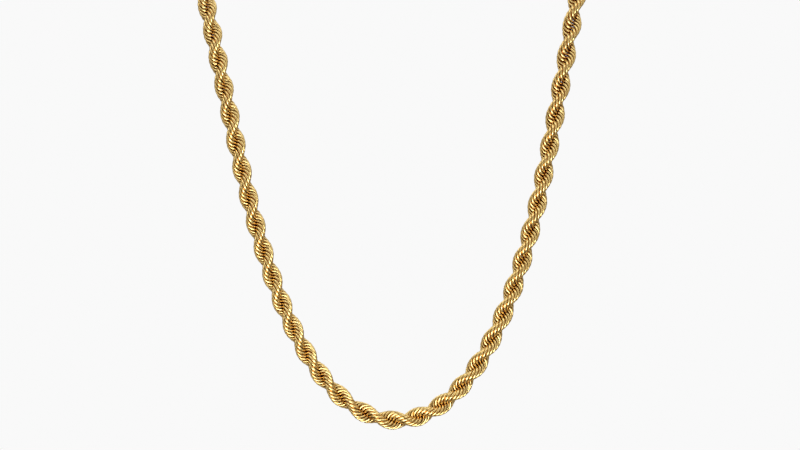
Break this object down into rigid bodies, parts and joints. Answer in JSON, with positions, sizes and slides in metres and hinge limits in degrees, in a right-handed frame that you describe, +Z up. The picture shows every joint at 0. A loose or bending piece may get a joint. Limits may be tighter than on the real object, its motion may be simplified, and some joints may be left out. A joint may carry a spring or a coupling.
{
  "type": "rope chain necklace",
  "caption": "Necklace of twisted rope chain: two strands of round links wound together in a right-hand twist, hanging in a deep curve and closed behind by a plain barrel clasp.",
  "frame": {"origin": "the place on the clasp's neck side, at the middle of its length, where the necklace rests on the nape", "axes": "+Z up, -Y to the front, where the drop hangs, and X across the neck, along the clasp"},
  "size_m": [0.1232, 0.1241, 0.1632],
  "materials": {
    "rope_gold": "polished yellow gold plate, darker between the links",
    "clasp_gold": "polished yellow gold plate"
  },
  "bodies": {
    "root": {"rope_chain": "rope_gold", "clasp": "clasp_gold"}
  },
  "joints": []
}
